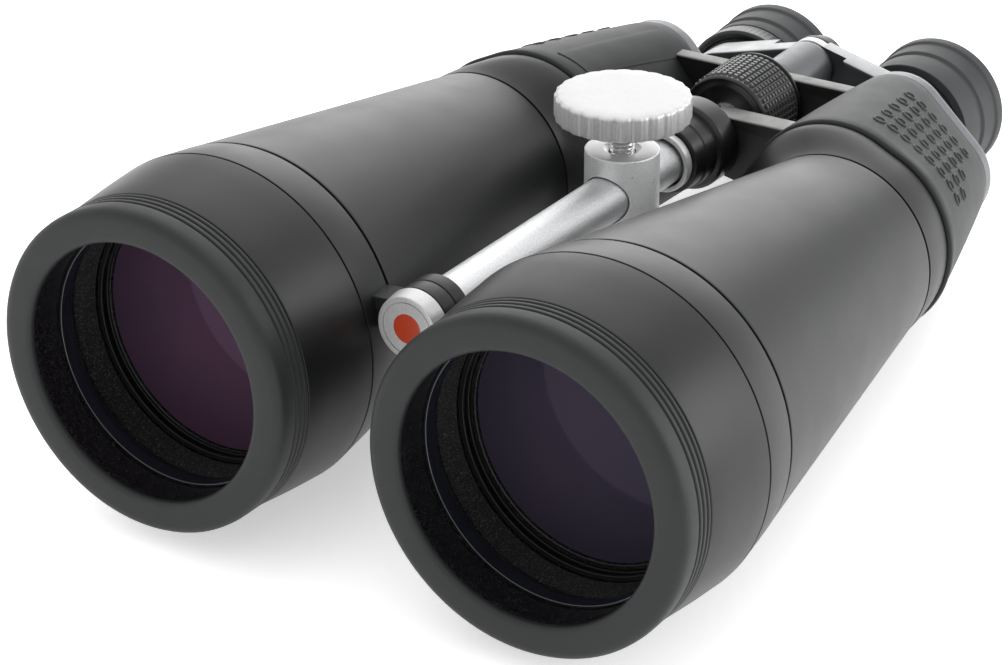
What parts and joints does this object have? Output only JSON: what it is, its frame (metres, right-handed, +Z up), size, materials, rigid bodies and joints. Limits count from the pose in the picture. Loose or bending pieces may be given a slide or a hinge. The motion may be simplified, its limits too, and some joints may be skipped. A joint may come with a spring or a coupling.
{
  "type": "astronomy binoculars",
  "caption": "Large Porro-prism astronomy binoculars: folding centre hinge, focus wheel, one dioptre eyepiece, and a rod between the barrels with a sliding, clamping tripod post.",
  "frame": {"origin": "bottom centre of the bounding box, under the fold plane", "axes": "+Y from the objectives back to the eyepieces, +Z up towards the clamp knob, +X towards the user's left barrel"},
  "size_m": [0.237, 0.33, 0.1066],
  "materials": {
    "ring_rubber": "matte moulded rubber",
    "soft_coat": "soft-touch black coating",
    "black_metal": "satin black anodised",
    "armour_rubber": "dark grey moulded grip rubber",
    "grey_metal": "satin grey die casting",
    "satin_metal": "bead-blasted satin",
    "bright_metal": "bright plated",
    "coated_glass": "plum anti-reflection coating",
    "clear_glass": "polished",
    "nylon": "natural nylon"
  },
  "bodies": {
    "left_half": {"left_front_ring": "ring_rubber", "left_objective_hood": "soft_coat", "left_front_bracket": "soft_coat", "left_lens_cell": "black_metal", "left_lens_retainer": "black_metal", "left_crown_lens": "coated_glass", "left_flint_lens": "clear_glass", "left_barrel_cone": "soft_coat", "left_prism_housing": "black_metal", "left_rubber_armour": "armour_rubber", "left_rear_cover": "grey_metal", "left_rear_prism": "clear_glass", "left_front_prism": "clear_glass", "left_prism_shelf": "black_metal", "left_front_lug": "black_metal", "left_rear_lug": "black_metal", "hinge_sleeve": "black_metal", "hinge_axle": "satin_metal"},
    "right_half": {"right_front_ring": "ring_rubber", "right_objective_hood": "soft_coat", "right_front_bracket": "soft_coat", "right_lens_cell": "black_metal", "right_lens_retainer": "black_metal", "right_crown_lens": "coated_glass", "right_flint_lens": "clear_glass", "right_barrel_cone": "soft_coat", "right_prism_housing": "black_metal", "right_rubber_armour": "armour_rubber", "right_rear_cover": "grey_metal", "right_rear_prism": "clear_glass", "right_front_prism": "clear_glass", "right_prism_shelf": "black_metal", "right_front_lug": "black_metal", "right_rear_lug": "black_metal"},
    "rod": {"tripod_rod": "satin_metal", "rod_end_cap": "bright_metal", "rod_collar": "bright_metal"},
    "post": {"tripod_post": "satin_metal"},
    "clamp_tip": {"clamp_pad": "nylon"},
    "clamp": {"clamp_knob": "bright_metal"},
    "focus": {"focus_wheel": "black_metal", "focus_grip": "armour_rubber"},
    "left_carrier": {"left_eyepiece_tube": "black_metal", "left_field_lens": "clear_glass", "left_bridge_arm": "grey_metal", "left_eyepiece_head": "black_metal", "left_eye_lens": "coated_glass", "left_eyecup": "ring_rubber", "left_eyecup_lip": "ring_rubber", "focus_shaft": "satin_metal", "focus_shaft_cap": "black_metal"},
    "right_carrier": {"right_eyepiece_tube": "black_metal", "right_field_lens": "clear_glass", "right_bridge_arm": "grey_metal"},
    "diopter_slide": {"right_diopter_sleeve": "black_metal"},
    "diopter": {"right_eyepiece_head": "black_metal", "right_eye_lens": "coated_glass", "right_eyecup": "ring_rubber", "right_eyecup_lip": "ring_rubber", "right_diopter_ring": "black_metal"}
  },
  "joints": [
    {"name": "interpupillary_fold", "type": "hinge", "parent": "left_half", "child": "right_half", "pos_m": [0, 0, 0.0679], "axis": [0, 1, 0], "range_deg": [-21, 26]},
    {"name": "rod_turn", "type": "hinge", "parent": "left_half", "child": "rod", "pos_m": [0, 0, 0.0679], "axis": [0, 1, 0], "range_deg": [-12, 12]},
    {"name": "post_slide", "type": "slide", "parent": "rod", "child": "post", "axis": [0, 1, 0], "range_m": [-0.08, 0.012]},
    {"name": "clamp_lift", "type": "slide", "parent": "post", "child": "clamp_tip", "axis": [0, 0, 1], "range_m": [0, 0.0013]},
    {"name": "clamp_turn", "type": "hinge", "parent": "clamp_tip", "child": "clamp", "pos_m": [0, -0.002, 0.1], "axis": [0, 0, 1], "range_deg": [0, 360]},
    {"name": "focus_turn", "type": "hinge", "parent": "left_half", "child": "focus", "pos_m": [0, 0.0766, 0.0679], "axis": [0, 1, 0], "range_deg": [-230, 230]},
    {"name": "left_focus_slide", "type": "slide", "parent": "left_half", "child": "left_carrier", "axis": [0, 1, 0], "range_m": [-0.004, 0.004]},
    {"name": "right_focus_slide", "type": "slide", "parent": "right_half", "child": "right_carrier", "axis": [0, 1, 0], "range_m": [-0.0041, 0.0041]},
    {"name": "diopter_travel", "type": "slide", "parent": "right_carrier", "child": "diopter_slide", "axis": [0, 1, 0], "range_m": [-0.0015, 0.0015]},
    {"name": "diopter_turn", "type": "hinge", "parent": "diopter_slide", "child": "diopter", "pos_m": [-0.0322, 0.14, 0.0476], "axis": [0, 1, 0], "range_deg": [-60, 60]}
  ],
  "couplings": [
    {"joint": "clamp_lift", "follows": "clamp_turn", "m_per_rad": 0.00019894},
    {"joint": "focus_turn", "follows": "left_focus_slide", "rad_per_m": 1000},
    {"joint": "right_focus_slide", "follows": "left_focus_slide", "ratio": 1},
    {"joint": "diopter_travel", "follows": "diopter_turn", "m_per_rad": 0.0014}
  ]
}
